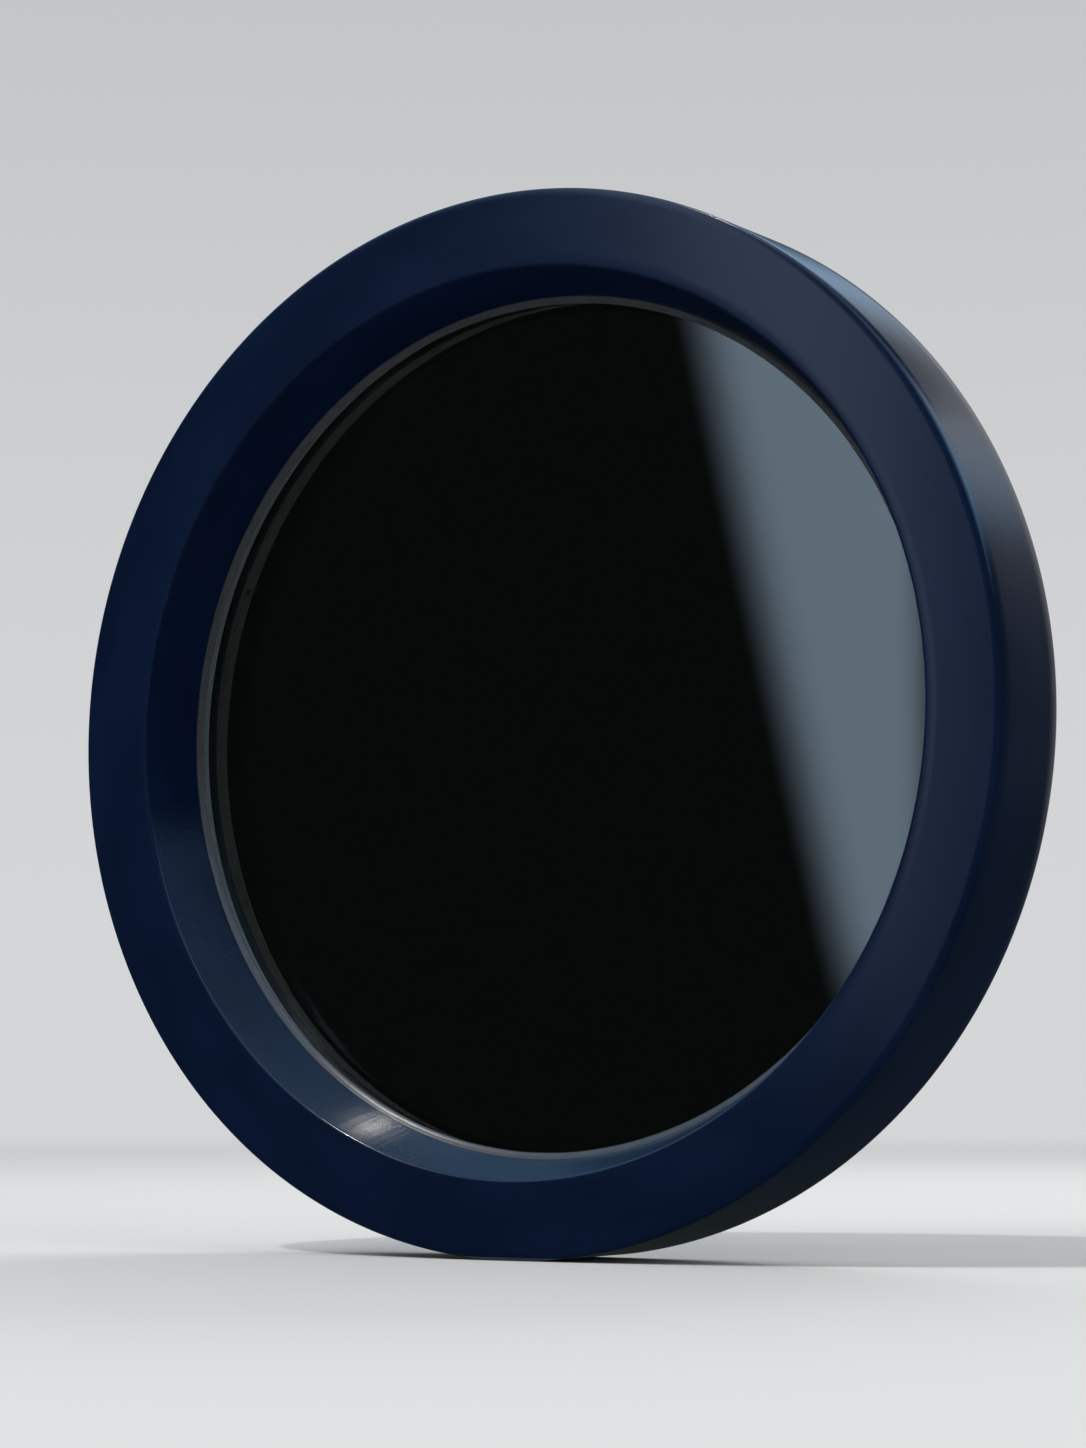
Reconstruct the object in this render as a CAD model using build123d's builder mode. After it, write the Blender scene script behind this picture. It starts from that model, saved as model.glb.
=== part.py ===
from build123d import *
import os
from math import cos, degrees, radians, sin, tan

# A fixed round window in millimetres: a turned timber frame, an insulating glass unit and screwed beads.
# The window's axis is Y, with outdoors towards -Y, the room towards +Y and +Z up. The origin is on the
# axis, halfway through the frame's depth. Each ring is one section turned about Y. Sections are drawn
# with the radius along X and the depth along Y. Polar angles count from +X towards +Z.

# Timber frame: its section is frame_height by frame_depth, bent round to the outer radius
frame_r = 490.0
frame_height = 90.0
frame_depth = 114.0
face_width = 72.0
rebate_height = 20.0
nose_land = 3.0
arris_r = 3.0
edge_chamfer = 2.0

# Insulating glass unit
rim_clearance = 5.0
outer_pane_thickness = 4.0
inner_pane_thickness = 4.0
cavity_width = 16.0
rim_seal_depth = 5.0
spacer_height = 7.0
spacer_wall = 0.6
spacer_shoulder = 2.0
butyl_thickness = 0.3
butyl_height = 3.6
butyl_setback = 0.8
spacer_joint_gap = 1.0
key_length = 60.0
filling_fit = 0.2
desiccant_arc = 180.0

# Tapes and outdoor sealant
tape_thickness = 4.0
outer_tape_width = 9.0
inner_tape_width = 12.0
inner_tape_setback = 1.0
sealant_depth = 5.0
sealant_toe = 6.0

# Beads and their screws
bead_sides = ["top", "right", "bottom", "left"]
bead_thickness = 24.0
bead_slope = 9.0
bead_fit = 0.3
bead_joint_gap = 0.6
bead_chamfer = 1.5
screws_per_bead = 2
screw_length = 40.0
screw_r = 1.75
screw_head_r = 3.5
countersink_angle = 90.0
head_sink = 0.3
countersink_lead = 1.0
bead_hole_fit = 0.25
pilot_fit = 0.05
pilot_spare = 2.0

# Glazing blocks
block_overhang = 1.0
setting_block_length = 100.0
setting_block_angle = 32.0
locating_block_length = 50.0
side_block_angle = 20.0

# Depths, worked out from the room face: the beads, the glass unit between its tapes, then the stop
front_y = -frame_depth / 2
back_y = frame_depth / 2
bead_y = back_y - bead_thickness
inner_tape_y = bead_y - tape_thickness
inner_pane_y = inner_tape_y - inner_pane_thickness
cavity_y = inner_pane_y - cavity_width
outer_pane_y = cavity_y - outer_pane_thickness
stop_y = outer_pane_y - tape_thickness

# Radii: the sight line, the rebate and what lies in it
sight_r = frame_r - frame_height
rebate_r = sight_r + rebate_height
glass_r = rebate_r - rim_clearance
spacer_r = glass_r - rim_seal_depth
outer_tape_r = sight_r + sealant_depth

os.makedirs("parts", exist_ok=True)


def radial(angle):
    """Unit vector from the window's axis outwards, at a polar angle."""
    return Vector(cos(radians(angle)), 0, sin(radians(angle)))


def section_plane(angle):
    """Plane of a section at a polar angle: X is the radius and Y the depth."""
    return Plane(origin=(0, 0, 0), x_dir=radial(angle), z_dir=radial(angle).cross(Vector(0, 1, 0)))


def arc_angle(length, radius):
    """Angle that a length takes up at a radius."""
    return degrees(length / radius)


def rectangle_section(inner_r, outer_r, start_y, end_y):
    """Rectangle between two radii and two depths, added to the open sketch."""
    with Locations(((inner_r + outer_r) / 2, (start_y + end_y) / 2)):
        Rectangle(outer_r - inner_r, end_y - start_y)


def spacer_section():
    """Outline of the spacer bar: flat towards the cavity, with bevelled shoulders at its back."""
    start_y = cavity_y + butyl_thickness
    end_y = inner_pane_y - butyl_thickness
    shoulder_r = spacer_r - spacer_shoulder
    Polygon(
        (spacer_r - spacer_height, start_y),
        (shoulder_r, start_y),
        (spacer_r, start_y + spacer_shoulder),
        (spacer_r, end_y - spacer_shoulder),
        (shoulder_r, end_y),
        (spacer_r - spacer_height, end_y),
        align=None,
    )


def filling_section():
    """Outline of what fits inside the hollow spacer bar."""
    spacer_section()
    offset(amount=-(spacer_wall + filling_fit), kind=Kind.INTERSECTION, mode=Mode.REPLACE)


def finish(part, name):
    """Label a finished piece and write it to its own file."""
    part.label = name
    export_step(part, f"parts/{name}.step")


# Where the bead screws go: on the beads' slope, square to it, sunk a little below the surface
bead_arc = 360 / len(bead_sides)
bead_angles = [90 - bead_arc * number for number in range(len(bead_sides))]
screw_spacing = bead_arc / screws_per_bead
screw_steps = [(number - (screws_per_bead - 1) / 2) * screw_spacing for number in range(screws_per_bead)]


def screw_plane(angle):
    """Plane of one screw's head, facing the middle of the window, with the screw going away along -Z."""
    slope = radians(bead_slope)
    inwards = Vector(0, sin(slope), 0) - radial(angle) * cos(slope)
    middle_r = sight_r + bead_thickness / 2 * tan(slope)
    on_slope = radial(angle) * middle_r + Vector(0, bead_y + bead_thickness / 2, 0)
    return Plane(origin=on_slope - inwards * head_sink, x_dir=radial(angle + 90), z_dir=inwards)


def bead_screw_planes(angle):
    """Planes of the screws in the bead whose middle is at this polar angle."""
    return [screw_plane(angle + step) for step in screw_steps]


all_screw_planes = [plane for angle in bead_angles for plane in bead_screw_planes(angle)]

# Timber frame: a flat outdoor face with a rounded inner arris, a stop that slopes in to the sight line,
# the rebate for the glass behind it, eased edges, and blind pilot holes for the bead screws
with BuildPart() as outer_frame:
    with BuildSketch(Plane.XY):
        with BuildLine():
            Polyline(
                (frame_r - face_width, front_y),
                (frame_r, front_y),
                (frame_r, back_y),
                (rebate_r, back_y),
                (rebate_r, stop_y),
                (sight_r, stop_y),
                (sight_r, stop_y - nose_land),
                close=True,
            )
        make_face()
        outer_edge = vertices().group_by(Axis.Y)[0].sort_by(Axis.X)[-1]
        room_edges = vertices().group_by(Axis.Y)[-1]
        chamfer([outer_edge, *room_edges], length=edge_chamfer)
        fillet(vertices().group_by(Axis.Y)[0].sort_by(Axis.X)[0], radius=arris_r)
    revolve(axis=Axis.Y)
    with BuildSketch(*all_screw_planes):
        Circle(screw_r + pilot_fit)
    extrude(amount=-(screw_length + pilot_spare), mode=Mode.SUBTRACT)
finish(outer_frame.part, "outer_frame")

# Foam tape between the stop and the glass, set back from the sight line to leave room for the sealant
with BuildPart() as outer_glazing_tape:
    with BuildSketch(Plane.XY):
        rectangle_section(outer_tape_r, outer_tape_r + outer_tape_width, stop_y, outer_pane_y)
    revolve(axis=Axis.Y)
finish(outer_glazing_tape.part, "outer_glazing_tape")

# Outdoor sealant: fills the slot in front of the tape and slopes down onto the glass
with BuildPart() as outer_sealant:
    with BuildSketch(Plane.XY):
        with BuildLine():
            Polyline(
                (outer_tape_r, stop_y),
                (outer_tape_r, outer_pane_y),
                (sight_r - sealant_toe, outer_pane_y),
                (sight_r, stop_y),
                close=True,
            )
        make_face()
    revolve(axis=Axis.Y)
finish(outer_sealant.part, "outer_sealant")

# Outdoor pane
with BuildPart() as outer_pane:
    with BuildSketch(Plane(origin=(0, outer_pane_y, 0), z_dir=(0, 1, 0))):
        Circle(glass_r)
    extrude(amount=outer_pane_thickness)
finish(outer_pane.part, "outer_pane")

# Room-side pane
with BuildPart() as inner_pane:
    with BuildSketch(Plane(origin=(0, inner_pane_y, 0), z_dir=(0, 1, 0))):
        Circle(glass_r)
    extrude(amount=inner_pane_thickness)
finish(inner_pane.part, "inner_pane")

# Spacer bar: thin hollow aluminium, bent to a ring and open at the top, where its two ends meet
spacer_gap_angle = arc_angle(spacer_joint_gap, spacer_r)
with BuildPart() as spacer_bar:
    with BuildSketch(section_plane(90 - spacer_gap_angle / 2)):
        spacer_section()
        offset(amount=-spacer_wall, kind=Kind.INTERSECTION, mode=Mode.SUBTRACT)
    revolve(axis=Axis.Y, revolution_arc=360 - spacer_gap_angle)
finish(spacer_bar.part, "spacer_bar")

# Key: the plug inside the spacer bar's two ends
key_arc = arc_angle(key_length, spacer_r)
with BuildPart() as spacer_key:
    with BuildSketch(section_plane(90 + key_arc / 2)):
        filling_section()
    revolve(axis=Axis.Y, revolution_arc=key_arc)
finish(spacer_key.part, "spacer_key")

# Desiccant: the drying grains that fill the lower part of the spacer bar
with BuildPart() as desiccant:
    with BuildSketch(section_plane(270 + desiccant_arc / 2)):
        filling_section()
    revolve(axis=Axis.Y, revolution_arc=desiccant_arc)
finish(desiccant.part, "desiccant")

# Butyl: one thin strand on each side of the spacer bar, against its pane
butyl_r = spacer_r - spacer_height + butyl_setback
butyl_sides = {"outer_butyl_seal": cavity_y, "inner_butyl_seal": inner_pane_y - butyl_thickness}
for name, start_y in butyl_sides.items():
    with BuildPart() as butyl_seal:
        with BuildSketch(Plane.XY):
            rectangle_section(butyl_r, butyl_r + butyl_height, start_y, start_y + butyl_thickness)
        revolve(axis=Axis.Y)
    finish(butyl_seal.part, name)

# Edge sealant: fills the rim between the panes, round the back and the shoulders of the spacer bar
with BuildPart() as edge_sealant:
    with BuildSketch(Plane.XY):
        rectangle_section(spacer_r - spacer_shoulder, glass_r, cavity_y, inner_pane_y)
        with BuildSketch(Plane.XY, mode=Mode.SUBTRACT):
            spacer_section()
    revolve(axis=Axis.Y)
finish(edge_sealant.part, "edge_sealant")

# Foam tape between the glass and the beads
with BuildPart() as inner_glazing_tape:
    with BuildSketch(Plane.XY):
        tape_r = sight_r + inner_tape_setback
        rectangle_section(tape_r, tape_r + inner_tape_width, inner_tape_y, bead_y)
    revolve(axis=Axis.Y)
finish(inner_glazing_tape.part, "inner_glazing_tape")

# Form of a countersunk hole: the shank's clearance, and the countersink carried on past the surface
hole_r = screw_r + bead_hole_fit
countersink_slope = tan(radians(countersink_angle / 2))
with BuildPart() as screw_hole:
    with BuildSketch(Plane.XZ):
        with BuildLine():
            Polyline(
                (0, countersink_lead),
                (screw_head_r + countersink_lead * countersink_slope, countersink_lead),
                (hole_r, -(screw_head_r - hole_r) / countersink_slope),
                (hole_r, -screw_length),
                (0, -screw_length),
                close=True,
            )
        make_face()
    revolve(axis=Axis.Z)

# Glazing beads: four arcs, sloped towards the window's middle, with countersunk holes for their screws
bead_gap_angle = arc_angle(bead_joint_gap, rebate_r)
for side, angle in zip(bead_sides, bead_angles):
    with BuildPart() as glazing_bead:
        with BuildSketch(section_plane(angle + (bead_arc - bead_gap_angle) / 2)):
            with BuildLine():
                Polyline(
                    (sight_r, bead_y),
                    (rebate_r - bead_fit, bead_y),
                    (rebate_r - bead_fit, back_y),
                    (sight_r + bead_thickness * tan(radians(bead_slope)), back_y),
                    close=True,
                )
            make_face()
            chamfer(vertices().group_by(Axis.Y)[-1], length=bead_chamfer)
        revolve(axis=Axis.Y, revolution_arc=bead_arc - bead_gap_angle)
        with Locations(*bead_screw_planes(angle)):
            add(screw_hole.part, mode=Mode.SUBTRACT)
    finish(glazing_bead.part, f"glazing_bead_{side}")

# Bead screws: one turned screw, set in every bead hole
head_height = (screw_head_r - screw_r) / countersink_slope
with BuildPart() as one_screw:
    with BuildSketch(Plane.XZ):
        with BuildLine():
            Polyline(
                (0, 0),
                (screw_head_r, 0),
                (screw_r, -head_height),
                (screw_r, -screw_length),
                (0, -screw_length),
                close=True,
            )
        make_face()
    revolve(axis=Axis.Z)

with BuildPart() as bead_screws:
    with Locations(*all_screw_planes):
        add(one_screw.part)
finish(bead_screws.part, "bead_screws")

# Glazing blocks, each in the gap between the unit's rim and the rebate
glazing_blocks = {
    "setting_block_left": (270 - setting_block_angle, setting_block_length),
    "setting_block_right": (270 + setting_block_angle, setting_block_length),
    "locating_block_left": (180 - side_block_angle, locating_block_length),
    "locating_block_top": (90, locating_block_length),
    "locating_block_right": (side_block_angle, locating_block_length),
}
for name, (angle, length) in glazing_blocks.items():
    block_arc = arc_angle(length, rebate_r)
    with BuildPart() as glazing_block:
        with BuildSketch(section_plane(angle + block_arc / 2)):
            rectangle_section(glass_r, rebate_r, outer_pane_y - block_overhang, inner_tape_y + block_overhang)
        revolve(axis=Axis.Y, revolution_arc=block_arc)
    finish(glazing_block.part, name)
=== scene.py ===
"""Round fixed window: a turned and painted frame, insulating glass, sealant, beads and screws.

Metres, in the part's own frame: +Y from outdoors to the room, +Z up, the window's axis along Y. A polar
angle counts from +X towards +Z. A section is a list of (radius, depth) points, which is turned about Y.
"""
from math import cos, degrees, pi, radians, sin, tan

import bmesh
import bpy
import numpy as np
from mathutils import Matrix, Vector


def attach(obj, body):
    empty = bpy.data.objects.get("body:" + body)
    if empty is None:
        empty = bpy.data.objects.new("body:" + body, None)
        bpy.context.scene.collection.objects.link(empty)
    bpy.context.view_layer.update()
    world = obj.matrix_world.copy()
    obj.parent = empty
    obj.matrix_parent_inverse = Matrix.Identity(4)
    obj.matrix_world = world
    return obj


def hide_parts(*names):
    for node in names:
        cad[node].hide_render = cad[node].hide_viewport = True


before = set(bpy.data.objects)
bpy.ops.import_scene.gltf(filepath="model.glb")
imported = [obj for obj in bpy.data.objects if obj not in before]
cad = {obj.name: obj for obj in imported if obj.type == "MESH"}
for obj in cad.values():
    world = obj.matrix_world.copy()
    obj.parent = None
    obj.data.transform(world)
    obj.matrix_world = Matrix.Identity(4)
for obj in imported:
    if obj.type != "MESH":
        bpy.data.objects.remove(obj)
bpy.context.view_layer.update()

# Timber frame
# One ring, glued up from segments and turned: a flat outdoor face, a rounded arris, a sloped stop that ends
# in a small nose, and a rebate behind it. Gloss navy paint outdoors and on the rim, off-white indoors.
FRAME_R, SIGHT_R, REBATE_R = 0.490, 0.400, 0.420
FRONT_Y, STOP_Y, BACK_Y = -0.057, 0.001, 0.057
FACE_WIDTH, ARRIS_R, CHAMFER = 0.072, 0.003, 0.002
NOSE, NOSE_R, NOSE_EASE, NOSE_LIFT = 0.003, 0.0012, 0.0006, 0.0008
FACE_ROWS, RIM_ROWS, BACK_ROWS = (0.430, 0.443, 0.456, 0.469, 0.482), (-0.040, 0.0, 0.040), (0.470, 0.440)
OFF_WHITE, NAVY_LOW, NAVY_HIGH = (0.72, 0.70, 0.65), (0.0012, 0.0053, 0.021), (0.0018, 0.0070, 0.027)
DUST_AND_SKY_SHEEN, PAINT_RELIEF, CORNER = (0.06, 0.13, 0.22), 0.00004, 28.0


def arc(middle, radius, start, end, count):
    """Points of a rounded corner in a section: the middle plus radius times (cos a, sin a), with the angle a
    in degrees from the radius axis towards depth."""
    a = np.radians(np.linspace(start, end, count))
    return list(zip(middle[0] + radius * np.cos(a), middle[1] + radius * np.sin(a)))


def turned(name, section, steps=360, start=0.0, sweep=360.0, shift=None, discs=False):
    """A section turned about Y. Vertex (i, j) is section point j at the polar angle
    a = start + sweep * i / steps, at (r cos a, depth, r sin a). shift(angle, radius, depth) may move the
    points a little. A part turn gets two end faces. With discs, the section's two ends aren't joined to
    each other, and each is closed by a round face across the axis."""
    full = sweep >= 360.0
    rows = steps if full else steps + 1
    angles = np.radians(start + sweep * np.arange(rows) / steps)[:, None]
    radius, depth = (np.array(axis)[None, :] + 0 * angles for axis in zip(*section))
    if shift:
        radius, depth = shift(angles, radius, depth)
    points = np.stack([radius * np.cos(angles), depth, radius * np.sin(angles)], axis=-1).reshape(-1, 3)
    count = len(section)
    i, j = np.meshgrid(np.arange(steps), np.arange(count - discs), indexing="ij")
    next_i, next_j = (i + 1) % rows, (j + 1) % count
    faces = np.stack([i * count + j, i * count + next_j, next_i * count + next_j, next_i * count + j], -1)
    faces = faces.reshape(-1, 4).tolist()
    if discs:
        faces += [list(range(0, rows * count, count)), list(range(count - 1, rows * count, count))]
    if not full:
        faces += [list(range(count)), list(range(steps * count, steps * count + count))]
    return piece_of(name, points, faces)


def piece_of(name, points, faces):
    """A new piece from its points and faces."""
    mesh = bpy.data.meshes.new(name)
    mesh.from_pydata(points.tolist(), [], faces)
    piece = bpy.data.objects.new(name, mesh)
    bpy.context.collection.objects.link(piece)
    return smooth(piece)


def smooth(piece):
    """Turn a piece's faces outwards and shade it smooth, with its corners sharp."""
    piece.data.validate()
    work = bmesh.new()
    work.from_mesh(piece.data)
    bmesh.ops.recalc_face_normals(work, faces=work.faces)
    work.to_mesh(piece.data)
    work.free()
    return shade(piece)


def shade(piece):
    """Shade a piece smooth, with the edges above CORNER degrees sharp."""
    piece.data.shade_smooth()
    piece.data.set_sharp_from_angle(angle=radians(CORNER))
    return piece


class Value:
    """One output of a shader node. Each arithmetic step on it adds a Math node."""

    def __init__(self, nodes, socket):
        self.nodes, self.socket = nodes, socket

    def beside(self, output):
        """Another output of the same node."""
        return Value(self.nodes, self.socket.node.outputs[output])

    def math(self, operation, other):
        return self.nodes.add("Math", {0: self, 1: other}, operation=operation)

    def math_after(self, operation, other):
        return self.nodes.add("Math", {0: other, 1: self}, operation=operation)

    def __add__(self, other):
        return self.math("ADD", other)

    def __sub__(self, other):
        return self.math("SUBTRACT", other)

    def __mul__(self, other):
        return self.math("MULTIPLY", other)

    def __truediv__(self, other):
        return self.math("DIVIDE", other)

    def __pow__(self, other):
        return self.math("POWER", other)

    def __gt__(self, other):
        return self.math("GREATER_THAN", other)

    def __lt__(self, other):
        return self.math("LESS_THAN", other)

    def __radd__(self, other):
        return self.math_after("ADD", other)

    def __rsub__(self, other):
        return self.math_after("SUBTRACT", other)

    def __rmul__(self, other):
        return self.math_after("MULTIPLY", other)

    def __rtruediv__(self, other):
        return self.math_after("DIVIDE", other)

    def step(self, low, high, start=0.0, end=1.0):
        """Smooth step from start to end as the value goes from low to high."""
        sockets = dict(enumerate((self, low, high, start, end)))
        return self.nodes.add("MapRange", sockets, interpolation_type="SMOOTHSTEP")


class Nodes:
    """The shader nodes of a material or of the world."""

    def __init__(self, owner):
        owner.use_nodes = True
        self.tree = owner.node_tree

    def add(self, kind, sockets=None, output=0, **settings):
        """One node: first its settings, then a value or a link for each of its sockets."""
        node = self.tree.nodes.new("ShaderNode" + kind)
        for name, setting in settings.items():
            setattr(node, name, setting)
        for key, term in (sockets or {}).items():
            self.feed(node.inputs[key], term)
        return Value(self, node.outputs[output])

    def feed(self, socket, term):
        """Link a value to a socket, or set the socket to a plain number or colour."""
        if isinstance(term, Value):
            self.tree.links.new(term.socket, socket)
        elif isinstance(term, tuple) and len(term) == 3:
            socket.default_value = (*term, 1.0)
        else:
            socket.default_value = term

    def coordinates(self, kind="Object"):
        """The three coordinates of a point on a piece, or of a direction in the world."""
        x = self.add("SeparateXYZ", {0: self.add("TexCoord", output=kind)})
        return x, x.beside(1), x.beside(2)

    def end_with(self, shader):
        """Use this shader for the material or the world."""
        last = self.tree.nodes.get("Material Output") or self.tree.nodes.get("World Output")
        self.feed(last.inputs[0], shader)


class Finish(Nodes):
    """One material: a Principled shader with its constants, and fields of a ring's coordinates. Where the
    colour is fed by nodes, the given one is for tools that don't read them."""

    def __init__(self, name, color, **constants):
        self.material = bpy.data.materials.new(name)
        super().__init__(self.material)
        self.paint("Base Color", color)
        for socket, value in constants.items():
            self.paint(socket.replace("_", " "), value)
        self.x, self.y, self.z = self.coordinates()
        self.radius = (self.x * self.x + self.z * self.z) ** 0.5

    def paint(self, socket, value):
        """Set or feed one of the shader's own sockets."""
        self.feed(self.tree.nodes["Principled BSDF"].inputs[socket], value)

    def around(self, along, across):
        """Coordinates that run round the ring without a seam: along sets the detail round the ring, in
        cycles per radian, and across the detail along the section, in cycles per metre."""
        round_x, round_z = self.x / self.radius * along, self.z / self.radius * along
        return self.add("CombineXYZ", {0: round_x, 1: round_z, 2: (self.radius - self.y) * across})

    def plain(self, scale):
        """Object coordinates, scaled."""
        return self.add("CombineXYZ", {0: self.x * scale, 1: self.y * scale, 2: self.z * scale})

    def noise(self, where, detail=2.0):
        """Noise from 0 to 1, around 0.5."""
        sockets = {"Vector": where, "Scale": 1.0, "Detail": detail, "Roughness": 0.5}
        return self.add("TexNoise", sockets)

    def blend(self, amount, first, second):
        """Colour that goes from first to second as amount goes from 0 to 1."""
        return self.add("Mix", {0: amount, 6: first, 7: second}, output=2, data_type="RGBA")

    def bump(self, height, distance):
        """Surface relief: height from 0 to 1 stands for this distance in metres."""
        sockets = {"Strength": 1.0, "Distance": distance, "Height": height}
        self.paint("Normal", self.add("Bump", sockets))


def fit(piece, material, slot, *nodes):
    """Give a new piece its material and its body, and let it stand for CAD nodes. The slot is not used."""
    piece.data.materials.clear()
    piece.data.materials.append(material)
    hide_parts(*nodes)
    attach(piece, "root")


face_r = FRAME_R - FACE_WIDTH
slope_angle = degrees(np.arctan2(STOP_Y - NOSE - FRONT_Y, SIGHT_R - face_r))
arris_middle = (face_r + ARRIS_R / tan(radians(slope_angle / 2)), FRONT_Y + ARRIS_R)
nose_middle = (SIGHT_R + NOSE_R, STOP_Y - NOSE + NOSE_LIFT)
front_middle, back_middle = (FRAME_R - CHAMFER, FRONT_Y + CHAMFER), (FRAME_R - CHAMFER, BACK_Y - CHAMFER)
frame_section = [
    *arc(arris_middle, ARRIS_R, slope_angle + 90, 270, 9),
    *[(r, FRONT_Y) for r in FACE_ROWS],
    *arc(front_middle, CHAMFER, 270, 360, 5),
    *[(FRAME_R, depth) for depth in RIM_ROWS],
    *arc(back_middle, CHAMFER, 0, 90, 5),
    *[(r, BACK_Y) for r in (*BACK_ROWS, REBATE_R + CHAMFER)],
    (REBATE_R, BACK_Y - CHAMFER),
    (REBATE_R, STOP_Y),
    (SIGHT_R + NOSE_EASE, STOP_Y),
    (SIGHT_R, STOP_Y - NOSE_EASE),
    *arc(nose_middle, NOSE_R, 180, slope_angle + 90, 4)[1:],
]
outer_frame = turned("painted_frame", frame_section, steps=480)

# Paint: rolled texture and slow changes of tone, and on the slope the lathe's marks, streaks across them
# and, where it faces up, a pale blue film that is partly dust and partly painted sky sheen.
navy = Finish("navy_gloss", (0.002, 0.008, 0.028), Specular_IOR_Level=0.38, Coat_Roughness=0.1)
rolled = navy.noise(navy.around(60.0, 260.0), detail=3.0)
streaks = navy.noise(navy.around(75.0, 10.0))
turning = navy.noise(navy.around(14.0, 420.0))
slow = navy.noise(navy.around(3.0, 18.0), detail=3.0)
on_slope = (navy.radius < face_r) * (navy.y < STOP_Y)
room_side = navy.y > BACK_Y - CHAMFER * 0.5
facing_up = (navy.z / navy.radius * -1.0).step(0.35, 0.95)
specks = navy.noise(navy.plain(500.0)).step(0.40, 0.75)
# Painted sheen: where the slope faces up its paint goes towards a pale blue, partly dust, partly sky sheen.
dust_and_sheen = facing_up * on_slope * (0.6 + 0.4 * specks) * 0.25
ring_paint = navy.blend(slow.step(0.35, 0.65), NAVY_LOW, NAVY_HIGH)
ring_paint = navy.blend(dust_and_sheen, ring_paint, DUST_AND_SKY_SHEEN)
navy.paint("Base Color", navy.blend(room_side, ring_paint, OFF_WHITE))
navy.paint("Roughness", 0.14 + 0.06 * slow + 0.12 * dust_and_sheen + 0.12 * room_side)
navy.paint("Coat Weight", 0.2 * (1.0 - on_slope))
navy.bump(rolled * 0.5 + (streaks * 3.0 + turning * 1.6) * on_slope, PAINT_RELIEF)
fit(outer_frame, navy.material, "blue_paint", "outer_frame")

# Outdoor sealant
# Grey silicone, run into the joint between the nose and the glass and tooled slightly hollow. Its toe on the
# glass wanders a little.
OUTER_PANE_Y, SEAL_WIDTH, SEAL_DEPTH, SEAL_HOLLOW = 0.005, 0.006, 0.004, 0.0022
SEAL_LAP, SEAL_LIP, SEAL_RELIEF = 0.005, 0.0004, 0.00006
TOE_EDGE, TOE_WANDER, TOE_FADE = 0.0001, 0.0003, 0.005
# Painted shade: both silicone colours are near black, far darker than grey silicone, for the shade it lies
# in.
SHADED_SILICONE_PALE, SHADED_SILICONE_DEEP = (0.045, 0.048, 0.054), (0.030, 0.033, 0.038)


def tooled(angles, radius, depth):
    """The toe moves along the glass by TOE_WANDER times a sum of three sines of the polar angle, and less
    further up, down to nothing at TOE_FADE from it."""
    wave = 0.5 * np.sin(7 * angles + 0.6) + 0.3 * np.sin(17 * angles + 2.1) + 0.2 * np.sin(41 * angles)
    near_toe = np.clip((SIGHT_R - SEAL_WIDTH + TOE_FADE - radius) / TOE_FADE, 0, 1)
    return radius + TOE_WANDER * wave * near_toe, depth


down = np.linspace(0.05, 0.96, 9)
hollow = zip(SIGHT_R - SEAL_WIDTH * down, STOP_Y + SEAL_DEPTH * down + SEAL_HOLLOW * down * (1 - down))
sealant_section = [
    (SIGHT_R + SEAL_LIP, STOP_Y),
    *hollow,
    (SIGHT_R - SEAL_WIDTH, OUTER_PANE_Y - TOE_EDGE),
    (SIGHT_R - SEAL_WIDTH, OUTER_PANE_Y),
    (SIGHT_R + SEAL_LAP, OUTER_PANE_Y),
    (SIGHT_R + SEAL_LAP, STOP_Y),
]
outer_sealant = turned("sealant_line", sealant_section, steps=480, shift=tooled)
silicone = Finish("grey_silicone", (0.04, 0.043, 0.048))
patches = silicone.noise(silicone.around(25.0, 300.0), detail=4.0)
silicone.paint("Base Color", silicone.blend(patches.step(0.35, 0.7), SHADED_SILICONE_PALE, SHADED_SILICONE_DEEP))
silicone.paint("Roughness", 0.22 + 0.14 * patches)
silicone.bump(silicone.noise(silicone.around(90.0, 500.0)), SEAL_RELIEF)
fit(outer_sealant, silicone.material, "grey_sealant", "outer_sealant")

# Glass panes
# Two discs of 4 mm float glass with ground edges, held 16 mm apart and sealed into one unit round their
# edges. The outdoor one is clear. The room-side one is drawn dark as painted shade for the unlit room
# behind it, so that the window reads near black.
GLASS_R, INNER_PANE_Y, PANE, GROUND = 0.415, 0.025, 0.004, 0.0005
PANE_RINGS = [0.02, 0.14, 0.27, GLASS_R - GROUND]
SQUARE_ON = 0.04


def glass(name, tint):
    """See-through with a tint, mixed with a clear gloss by Schlick's rule: the share SQUARE_ON when seen
    square on, and the rest with the fifth power of how far the view turns away."""
    material = bpy.data.materials.new(name)
    nodes = Nodes(material)
    nodes.tree.nodes.remove(nodes.tree.nodes["Principled BSDF"])
    facing = nodes.add("LayerWeight", {"Blend": 0.5}, output="Facing")
    through = nodes.add("BsdfTransparent", {0: tint})
    gloss = nodes.add("BsdfAnisotropic", {"Roughness": 0.0, "Color": (1.0, 1.0, 1.0)})
    mirrored = SQUARE_ON + (1.0 - SQUARE_ON) * facing**5.0
    nodes.end_with(nodes.add("MixShader", {0: mirrored, 1: through, 2: gloss}))
    return material


def pane(name, near_y, material, slot, node):
    """A disc of glass from near_y on, turned from rings on both sides, with its edges ground off."""
    far_y = near_y + PANE
    section = [*[(r, near_y) for r in PANE_RINGS], (GLASS_R, near_y + GROUND), (GLASS_R, far_y - GROUND)]
    section += [(r, far_y) for r in PANE_RINGS[::-1]]
    fit(turned(name, section, steps=240, discs=True), material, slot, node)


pane("clear_pane", OUTER_PANE_Y, glass("clear_glass", (0.93, 0.96, 0.95)), "clear_glass", "outer_pane")
# Its dark tint is painted shade, standing for the unlit room behind the window.
pane("dark_pane", INNER_PANE_Y, glass("dark_glass", (0.22, 0.225, 0.222)), "dark_glass", "inner_pane")

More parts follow.
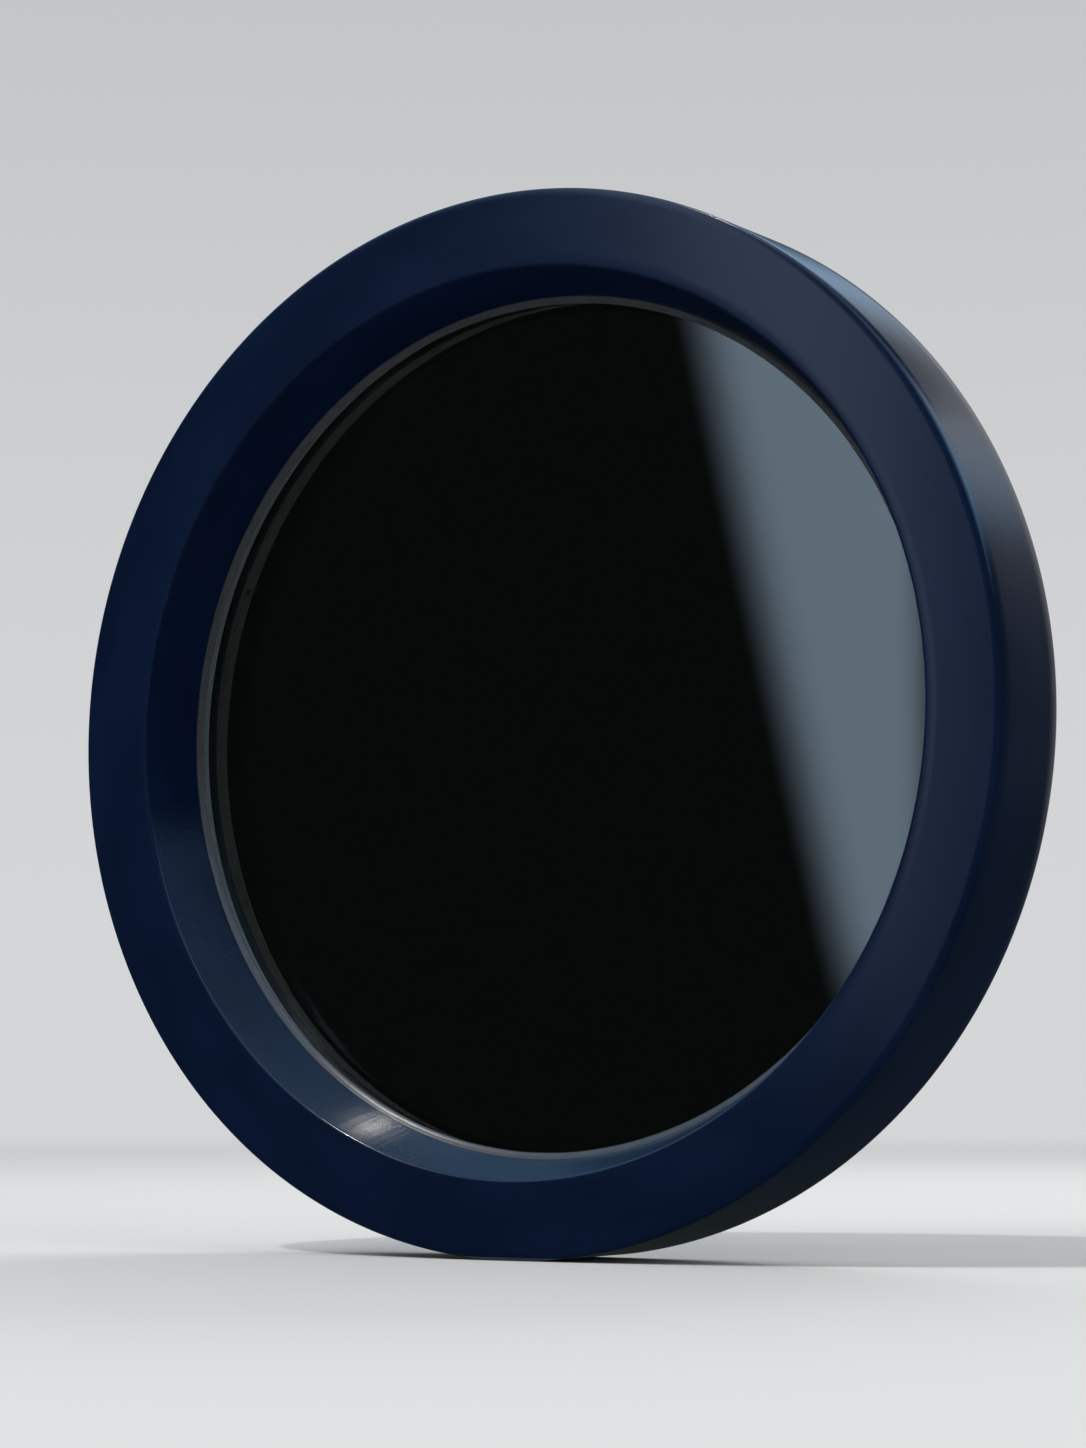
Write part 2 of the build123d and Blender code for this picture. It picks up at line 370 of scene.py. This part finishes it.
# Spacer bar
# A hollow bar of roll-formed aluminium in its mill finish, bent round until its two ends meet at the top,
# and held between the panes by butyl on both sides. Only its outside is drawn, because nothing else shows.
SPACER_IN, SPACER_OUT, SPACER_FRONT, SPACER_REAR = 0.403, 0.410, 0.0093, 0.0247
SPACER_EASE, SPACER_SHOULDER, SPACER_GAP = 0.0004, 0.002, 0.001
spacer_section = [
    (SPACER_IN + SPACER_EASE, SPACER_REAR),
    (SPACER_OUT - SPACER_SHOULDER, SPACER_REAR),
    (SPACER_OUT, SPACER_REAR - SPACER_SHOULDER),
    (SPACER_OUT, SPACER_FRONT + SPACER_SHOULDER),
    (SPACER_OUT - SPACER_SHOULDER, SPACER_FRONT),
    (SPACER_IN + SPACER_EASE, SPACER_FRONT),
    (SPACER_IN, SPACER_FRONT + SPACER_EASE),
    (SPACER_IN, SPACER_REAR - SPACER_EASE),
]
open_part = degrees(SPACER_GAP / SPACER_OUT)
spacer = turned("spacer", spacer_section, steps=400, start=90 + open_part / 2, sweep=360 - open_part)
metal = Finish("mill_aluminium", (0.74, 0.75, 0.74), Metallic=0.8)
metal.paint("Roughness", 0.42 + 0.14 * metal.noise(metal.around(8.0, 900.0)))
fit(spacer, metal.material, "spacer_aluminium", "spacer_bar")

# Beads
# Four arcs of painted timber that hold the glass from the room side, butted on the diagonals. Each has a
# sloped side towards the middle, eased edges and two countersunk holes.
BEAD_Y, BEAD_FIT, BEAD_JOINT, BEAD_EASE = 0.033, 0.0003, 0.0006, 0.0015
LEAN, SCREW_SPREAD, HEAD_SINK, ROOM_RELIEF = radians(9.0), 22.5, 0.0003, 0.00008
HOLE_PROFILE = [(0.0045, 0.001), (0.002, -0.0015), (0.002, -0.030)]
bead_r, thick = REBATE_R - BEAD_FIT, BACK_Y - BEAD_Y
bead_section = [
    *[(SIGHT_R + tan(LEAN) * up, BEAD_Y + up) for up in (0.0, 0.008, 0.016, thick - BEAD_EASE)],
    (SIGHT_R + tan(LEAN) * thick + BEAD_EASE, BACK_Y),
    (bead_r - BEAD_EASE, BACK_Y),
    (bead_r, BACK_Y - BEAD_EASE),
    (bead_r, BEAD_Y),
]


def set_in_slope(name, angles, rings):
    """One form, repeated at several polar angles a of the beads' slope. A point (u, v, w) of the form goes to
    HEAD_SINK under the slope's middle line at a, plus u along the line, v up the slope and w square out of
    it. rings holds the points by ring and by turn. The first and the last ring are closed by a face."""
    a = np.radians(np.array(angles, dtype=float))[:, None]
    radial = np.hstack([np.cos(a), 0 * a, np.sin(a)])
    side = np.hstack([-np.sin(a), 0 * a, np.cos(a)])
    outwards = sin(LEAN) * np.array([0.0, 1.0, 0.0]) - cos(LEAN) * radial
    across = np.cross(outwards, side)
    middle_line = radial * (SIGHT_R + tan(LEAN) * thick / 2) + [0.0, BEAD_Y + thick / 2, 0.0]
    start = middle_line - outwards * HEAD_SINK
    axes = np.stack([side, across, outwards], axis=1)
    points = start[:, None, None, :] + np.einsum("rck,nkx->nrcx", rings, axes)
    forms, rows, count = points.shape[:3]
    index = np.arange(forms * rows * count).reshape(forms, rows, count)
    low, high = index[:, :-1], index[:, 1:]
    sides = np.stack([low, np.roll(low, -1, axis=2), np.roll(high, -1, axis=2), high], axis=-1)
    ends = np.concatenate([index[:, 0], index[:, -1]])
    return piece_of(name, points.reshape(-1, 3), sides.reshape(-1, 4).tolist() + ends.tolist())


def ring_at(turn, radius, height):
    """Points (radius cos t, radius sin t, height) at the turning angles t, with one radius or one each."""
    return np.stack([radius * np.cos(turn), radius * np.sin(turn), 0 * turn + height], axis=-1)


def cut(piece, cutter):
    """Cut one piece's form out of another, and drop the cutter."""
    boolean = piece.modifiers.new("cut", "BOOLEAN")
    boolean.operation, boolean.object, boolean.solver = "DIFFERENCE", cutter, "EXACT"
    bpy.context.view_layer.update()
    done = bpy.data.meshes.new_from_object(piece.evaluated_get(bpy.context.evaluated_depsgraph_get()))
    piece.modifiers.clear()
    old, piece.data = piece.data, done
    bpy.data.meshes.remove(old)
    bpy.data.objects.remove(cutter)
    return smooth(piece)


even_turn = 2 * pi * np.arange(32) / 32
hole = np.array([ring_at(even_turn, r, h) for r, h in HOLE_PROFILE])
room_paint = Finish("room_white", OFF_WHITE)
room_paint.paint("Roughness", 0.30 + 0.1 * room_paint.noise(room_paint.around(3.0, 20.0)))
room_paint.bump(room_paint.noise(room_paint.around(60.0, 260.0), detail=3.0), ROOM_RELIEF)
joint = degrees(BEAD_JOINT / REBATE_R)
screw_angles = []
for side_name, middle in {"top": 90, "right": 0, "bottom": 270, "left": 180}.items():
    bead_start = middle - 45 + joint / 2
    bead = turned(f"bead_{side_name}", bead_section, steps=120, start=bead_start, sweep=90 - joint)
    pair = [middle - SCREW_SPREAD, middle + SCREW_SPREAD]
    screw_angles += pair
    bead = cut(bead, set_in_slope("cut", pair, hole))
    fit(bead, room_paint.material, "room_paint", f"glazing_bead_{side_name}")

# Bead screws
# Stainless countersunk screws through the beads into the frame, their heads just under the slope, each with
# a plain cross recess.
ARM, HALF_ARM, RECESS, RECESS_TAPER = 0.0019, 0.00045, 0.0012, 0.55
HEAD_PROFILE = [(0.0033, 0.0), (0.0035, -0.0001), (0.00175, -0.00185), (0.00175, -0.040)]


def cross_radius(turn):
    """Outline of a plain cross by turning angle. With t the angle from the nearest arm's middle line, it is
    the lesser of ARM / cos t, the arm's end, and HALF_ARM / sin t, the arm's side."""
    t = np.abs((turn + pi / 4) % (pi / 2) - pi / 4)
    return np.minimum(ARM / np.cos(t), HALF_ARM / np.maximum(np.sin(t), 1e-6))


arm_corner = np.arctan(HALF_ARM / ARM)
quarter = np.concatenate([[0.0], np.linspace(arm_corner, pi / 2 - arm_corner, 7)])
cross_turn = (quarter[None, :] + pi / 2 * np.arange(4)[:, None]).ravel()
cross = cross_radius(cross_turn)
screw_rings = [ring_at(cross_turn, RECESS_TAPER * cross, -RECESS), ring_at(cross_turn, cross, 0.0)]
screw_rings += [ring_at(even_turn, r, h) for r, h in HEAD_PROFILE]
screws = set_in_slope("bead_screw_heads", screw_angles, np.array(screw_rings))
steel = Finish("stainless", (0.60, 0.60, 0.59), Metallic=1.0, Roughness=0.28)
fit(screws, steel.material, "stainless_steel", "bead_screws")

# Room-side tape
# A strip of dark closed-cell foam, laid round on the glass and pressed by the beads. It shows through the
# glass, so it is turned finely.
TAPE_R, TAPE_WIDTH, TAPE_Y, FOAM_RELIEF = SIGHT_R + 0.001, 0.012, INNER_PANE_Y + PANE, 0.0003
foam = Finish("dark_foam", (0.05, 0.05, 0.05), Roughness=0.85)
foam.bump(foam.noise(foam.plain(1500.0)), FOAM_RELIEF)
tape_back = TAPE_R + TAPE_WIDTH
tape_section = [(TAPE_R, TAPE_Y), (TAPE_R, BEAD_Y), (tape_back, BEAD_Y), (tape_back, TAPE_Y)]
fit(turned("room_side_tape", tape_section, steps=400), foam.material, "foam_tape", "inner_glazing_tape")

# Hidden pieces
# The outdoor tape, the seals round the glass unit, the spacer's key and drying grains, and the blocks under
# and beside the glass. They keep the CAD's meshes and get their materials.
butyl = Finish("black_butyl", (0.018, 0.018, 0.018), Roughness=0.6)
edge_rubber = Finish("edge_rubber", (0.03, 0.03, 0.032), Roughness=0.55)
key_plastic = Finish("key_plastic", (0.12, 0.12, 0.12), Roughness=0.45)
block_plastic = Finish("block_plastic", (0.25, 0.27, 0.30), Roughness=0.45)
grains = Finish("desiccant_grain", (0.60, 0.52, 0.42), Roughness=0.8)
grains.bump(grains.noise(grains.plain(900.0), detail=1.0), 0.0006)
hidden = {
    "foam_tape": (foam, ["outer_glazing_tape"]),
    "butyl": (butyl, ["outer_butyl_seal", "inner_butyl_seal"]),
    "edge_rubber": (edge_rubber, ["edge_sealant"]),
    "key_plastic": (key_plastic, ["spacer_key"]),
    "desiccant_grain": (grains, ["desiccant"]),
    "block_plastic": (
        block_plastic,
        [f"setting_block_{place}" for place in ("left", "right")]
        + [f"locating_block_{place}" for place in ("left", "top", "right")],
    ),
}
for slot, (finish, nodes) in hidden.items():
    for node in nodes:
        cad[node].data.materials.clear()
        cad[node].data.materials.append(finish.material)
        shade(cad[node])

# Floor and backdrop
# A pale floor that runs into a pale background, both plain to the camera and in mirror images. Behind the
# window, rays that have come through its panes find near black instead: painted shade for an unlit room.
FLOOR_Z, FLOOR_R = -FRAME_R, 60.0
# The near black found behind the panes is painted shade for an unlit room.
HORIZON, HIGH_UP, DARK_BEHIND = (0.66, 0.67, 0.68), (0.50, 0.515, 0.53), (0.004, 0.005, 0.005)
FLOOR_PALE, EVEN_LIGHT, EVEN_STRENGTH = (0.62, 0.62, 0.61), (0.86, 0.91, 0.97), 0.55
FADE_FROM, FADE_TO, ONE_PANE = 1.5, 9.0, 1.5


class Layers(Nodes):
    """The shaders of a stage material or the world, laid over each other by the kind and place of the ray.
    A pane has two faces, so a ray that has come through one has a transparent depth of at least 2."""

    def __init__(self, owner, first_kind, first_sockets):
        super().__init__(owner)
        self.top = self.add(first_kind, first_sockets)
        camera_ray = self.add("LightPath")
        kinds = camera_ray.math("MAXIMUM", camera_ray.beside("Is Glossy Ray"))
        self.seen = kinds.math("MAXIMUM", camera_ray.beside("Is Transmission Ray"))
        self.past_pane = camera_ray.beside("Transparent Depth") > ONE_PANE

    def over(self, amount, kind, color=None, strength=1.0):
        """Go over to another shader as amount goes from 0 to 1."""
        shader = self.add(kind, {0: color, 1: strength} if color else None)
        self.top = self.add("MixShader", {0: amount, 1: self.top, 2: shader})


def stage_piece(name, points, faces, material):
    """A mesh that belongs to the stage."""
    mesh = bpy.data.meshes.new(name)
    mesh.from_pydata(points.tolist(), [], faces)
    mesh.materials.append(material)
    piece = bpy.data.objects.new(name, mesh)
    bpy.context.collection.objects.link(piece)
    return piece


pale_floor = bpy.data.materials.new("pale_floor")
matt = {"Base Color": FLOOR_PALE, "Roughness": 0.9, "Specular IOR Level": 0.1}
floor_look = Layers(pale_floor, "BsdfPrincipled", matt)
x, y, z = floor_look.coordinates()
far_away = ((x * x + y * y) ** 0.5).step(FADE_FROM, FADE_TO)
floor_look.over(far_away * floor_look.seen, "Emission", HORIZON)
floor_look.over(floor_look.past_pane * floor_look.seen * (y > 0.0), "Emission", DARK_BEHIND)
floor_look.end_with(floor_look.top)
edge = 2 * pi * np.arange(96) / 96
floor_points = np.stack([FLOOR_R * np.cos(edge), FLOOR_R * np.sin(edge), 0 * edge + FLOOR_Z], axis=-1)
stage_piece("floor", floor_points, [range(96)], pale_floor)

world = bpy.data.worlds.new("studio")
bpy.context.scene.world = world
backdrop = Layers(world, "Background", {0: HORIZON, 1: 1.0})
_, to_y, to_z = backdrop.coordinates("Generated")
backdrop.over(to_z.step(0.0, 0.45), "Background", HIGH_UP)
backdrop.over(backdrop.past_pane * (to_y > 0.0), "Background", DARK_BEHIND)
backdrop.over(1.0 - backdrop.seen, "Background", EVEN_LIGHT, EVEN_STRENGTH)
backdrop.end_with(backdrop.top)

# Mirror screen
# A screen round the front and sides that shows only in mirror images, as dark cards do in a studio: dark low
# down, blue above a soft edge, and with one bright slanted strip for the right-hand part of the glass.
# Painted reflections: the screen's dark, its blue and its bright strip glow only in mirror images and light
# nothing.
SCREEN_R, SCREEN_LIFT = 14.0, 0.003
SCREEN_DARK, SCREEN_BLUE = (0.020, 0.026, 0.024), (0.50, 0.85, 1.30)
STRIP_BLUE, STRIP_GLOW = (0.62, 0.78, 1.0), 1.8
BLUE_LOW, BLUE_HIGH, CLEAR_LOW, CLEAR_HIGH, CLEAR_SIDE, CLEAR_BACK = np.radians([19, 28, 45, 60, 152, 178])
STRIP_LEFT, STRIP_MIDDLE, STRIP_RIGHT, STRIP_SLANT = *np.radians([23.9, 24.9, 26.3]), 0.22
screen_paint = bpy.data.materials.new("mirror_screen")
screen_look = Layers(screen_paint, "Emission", {0: SCREEN_DARK, 1: 1.0})
x, y, z = (part / SCREEN_R for part in screen_look.coordinates())
azimuth = (x * -1.0).math("ARCTAN2", y * -1.0)
strip = (azimuth - STRIP_SLANT * z).step(STRIP_MIDDLE, STRIP_RIGHT, 1.0, 0.0)
strip = strip * azimuth.step(STRIP_LEFT, STRIP_MIDDLE) * z.step(-0.03, 0.03)
screen_look.over(z.step(sin(BLUE_LOW), sin(BLUE_HIGH)), "Emission", SCREEN_BLUE)
screen_look.over(strip, "Emission", STRIP_BLUE, STRIP_GLOW)
screen_look.over(z.step(sin(CLEAR_LOW), sin(CLEAR_HIGH)), "BsdfTransparent")
screen_look.over(azimuth.math("ABSOLUTE", 0.0).step(CLEAR_SIDE, CLEAR_BACK), "BsdfTransparent")
screen_look.end_with(screen_look.top)

# The screen is a grid on a sphere of radius SCREEN_R, by bearing and height, with a fan of ground below it.
columns, rows = 91, 16
rim_height = FLOOR_Z + SCREEN_LIFT
heights = np.concatenate([[rim_height], SCREEN_R * np.sin(np.radians(np.arange(4, 64, 4)))])[:, None]
bearing = np.radians(np.linspace(-180, 180, columns))[None, :]
reach = np.sqrt(SCREEN_R**2 - heights**2)
band = np.stack([-reach * np.sin(bearing), -reach * np.cos(bearing), heights + 0 * bearing], axis=-1)
screen_points = np.vstack([[[0.0, 0.0, rim_height]], band.reshape(-1, 3)])
index = 1 + np.arange(rows * columns).reshape(rows, columns)
low, high = index[:-1], index[1:]
quads = np.stack([low[:, :-1], low[:, 1:], high[:, 1:], high[:, :-1]], axis=-1).reshape(-1, 4)
ground = np.stack([0 * index[0, :-1], index[0, :-1], index[0, 1:]], axis=-1)
screen = stage_piece("mirror_screen", screen_points, ground.tolist() + quads.tolist(), screen_paint)
screen.visible_camera = screen.visible_diffuse = screen.visible_transmission = False
screen.visible_shadow = screen.visible_volume_scatter = False

# Light
# Soft lamps from the upper left, the right and behind, a mild sun, and a small spot for the glint on the
# lower left of the slope, which lights only the frame and the sealant.
SUNLIGHT, GLINT, TO_SPOT = (1.0, 0.97, 0.92), Vector((-0.173, -0.030, -0.372)), Vector((-0.170, 0.519, 0.838))
SPOT_AWAY = 14.0


def lamp(name, kind, energy, where, target=(0, 0, 0), color=(1, 1, 1), **sizes):
    """A light at a place, turned towards a target. Mirror images leave the soft lamps out."""
    data = bpy.data.lights.new(name, kind)
    data.energy, data.color = energy, color
    for key, value in sizes.items():
        setattr(data, key, value)
    light = bpy.data.objects.new(name, data)
    light.location = where
    light.rotation_euler = (Vector(target) - Vector(where)).to_track_quat("-Z", "Y").to_euler()
    light.visible_glossy = kind != "AREA"
    bpy.context.collection.objects.link(light)
    return light


for name, energy, where, width, height, color in [
    ("soft_key", 92.0, (-1.8, -3.2, 3.4), 2.6, 2.0, (0.94, 0.97, 1.0)),
    ("fill", 40.0, (3.6, -1.5, 2.2), 2.5, 2.5, (1.0, 1.0, 1.0)),
    ("rear", 85.0, (-0.5, 3.4, 3.2), 3.0, 2.0, (1.0, 1.0, 1.0)),
]:
    lamp(name, "AREA", energy, where, color=color, shape="RECTANGLE", size=width, size_y=height)
lamp("sun", "SUN", 1.0, (-0.9, -2.75, 4.1), color=SUNLIGHT, angle=radians(1.5))

narrow = {"spot_size": radians(3), "spot_blend": 1.0, "shadow_soft_size": 0.12}
spot_at = GLINT + SPOT_AWAY * TO_SPOT
glint_spot = lamp("glint_spot", "SPOT", 100.0, spot_at, target=GLINT, color=SUNLIGHT, **narrow)
lit = bpy.data.collections.new("lit_by_the_spot")
lit.objects.link(outer_frame)
lit.objects.link(outer_sealant)
glint_spot.light_linking.receiver_collection = lit
glint_spot.light_linking.blocker_collection = lit

# Camera
# From where the photograph was taken, in front and to the right of the window and below its middle, aimed
# at the middle with a longer lens.
eye = Vector((1.789, -2.900, -0.332))
camera = bpy.data.cameras.new("camera")
camera.lens, camera.clip_end = 92.0, 100.0
viewer = bpy.data.objects.new("camera", camera)
viewer.location = eye
viewer.rotation_euler = (-eye).to_track_quat("-Z", "Y").to_euler()
bpy.context.collection.objects.link(viewer)
bpy.context.scene.camera = viewer
bpy.context.scene.view_settings.view_transform = "Standard"
